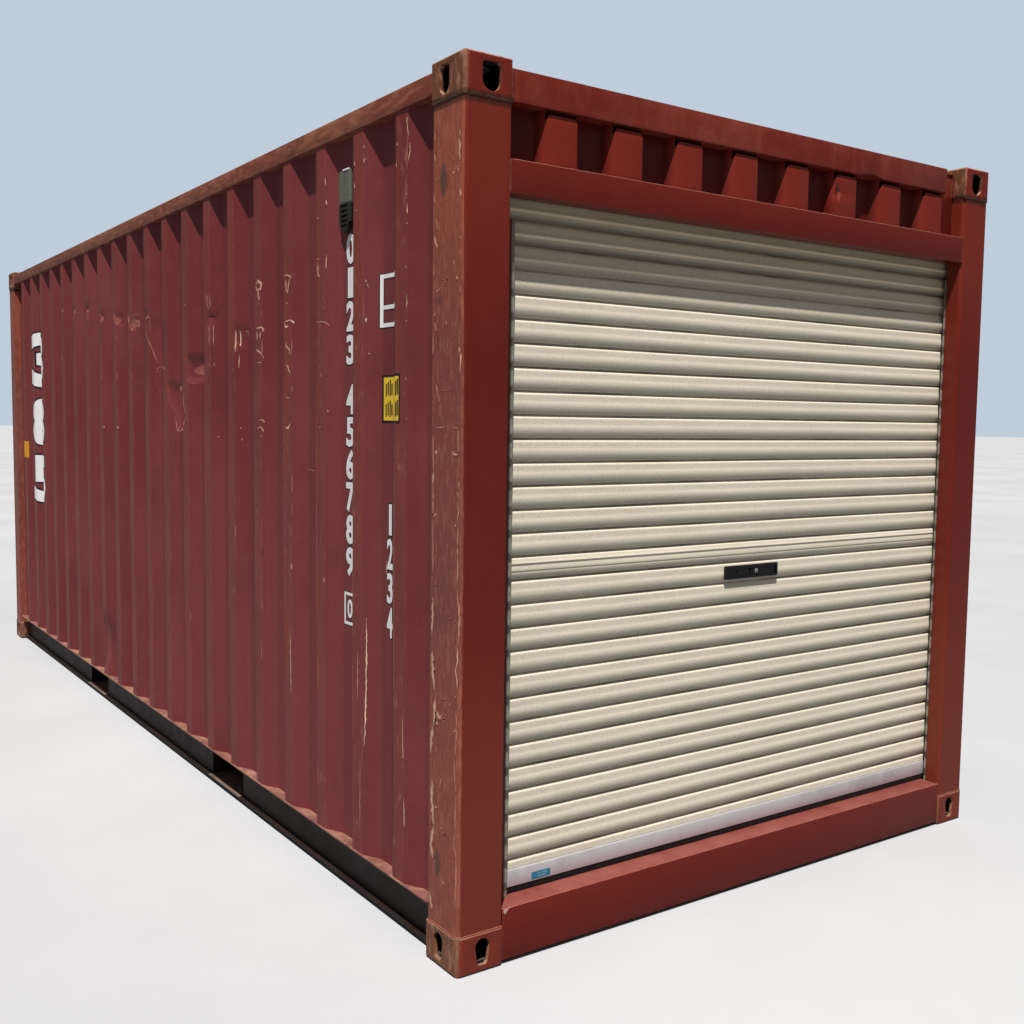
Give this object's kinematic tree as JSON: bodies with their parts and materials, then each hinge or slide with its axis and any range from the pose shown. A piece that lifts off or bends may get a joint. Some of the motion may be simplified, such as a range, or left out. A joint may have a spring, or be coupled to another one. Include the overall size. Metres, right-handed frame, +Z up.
{
  "type": "twenty foot shipping container with a roller door",
  "caption": "Twenty foot steel freight container with corrugated walls, corner castings, forklift pockets and a cream roller door fitted in its blind end.",
  "frame": {"origin": "on the ground below the middle of the container", "axes": "+X along the length towards the roller door, +Y across to the right as seen facing the roller door, +Z up"},
  "size_m": [6.058, 2.438, 2.591],
  "materials": {
    "casting_steel": "worn paint over cast steel, rusty",
    "front_paint": "fresh satin red-brown paint",
    "wall_paint": "old satin maroon paint, scuffed",
    "rail_paint": "weathered brown paint",
    "underside_paint": "dark bituminous paint",
    "plywood": "worn plywood",
    "guide_steel": "dull galvanised steel",
    "curtain_paint": "satin cream paint",
    "bar_aluminium": "satin",
    "black_rubber": "matte",
    "black_plastic": "matte",
    "door_gear_steel": "worn paint over galvanised steel",
    "vent_plastic": "dirty grey moulding"
  },
  "bodies": {
    "root": {"casting_front_left_bottom": "casting_steel", "casting_front_right_bottom": "casting_steel", "casting_front_left_top": "casting_steel", "casting_front_right_top": "casting_steel", "casting_rear_left_bottom": "casting_steel", "casting_rear_right_bottom": "casting_steel", "casting_rear_left_top": "casting_steel", "casting_rear_right_top": "casting_steel", "post_front_left": "front_paint", "post_front_right": "front_paint", "post_rear_left": "wall_paint", "post_rear_right": "wall_paint", "top_rail_left": "rail_paint", "top_rail_right": "rail_paint", "bottom_rail_left": "underside_paint", "bottom_rail_right": "underside_paint", "front_header": "front_paint", "rear_header": "wall_paint", "front_sill": "front_paint", "rear_sill": "wall_paint", "side_wall_left": "wall_paint", "side_wall_right": "wall_paint", "end_wall_strip": "front_paint", "roof_panel": "wall_paint", "floor_boards": "plywood", "cross_members": "underside_paint", "forklift_pocket_front": "underside_paint", "forklift_pocket_rear": "underside_paint", "door_lintel": "front_paint", "guide_left": "guide_steel", "guide_right": "guide_steel", "roller_curtain": "curtain_paint", "curtain_roll": "curtain_paint", "roll_brackets": "guide_steel", "bottom_bar": "bar_aluminium", "bottom_seal": "black_rubber", "curtain_lock": "black_plastic", "cargo_door_left": "wall_paint", "cargo_door_right": "wall_paint", "door_gaskets": "black_rubber", "door_hinges": "wall_paint", "locking_bars": "door_gear_steel", "locking_handles": "door_gear_steel", "bar_keepers": "door_gear_steel", "ventilators": "vent_plastic"}
  },
  "joints": []
}
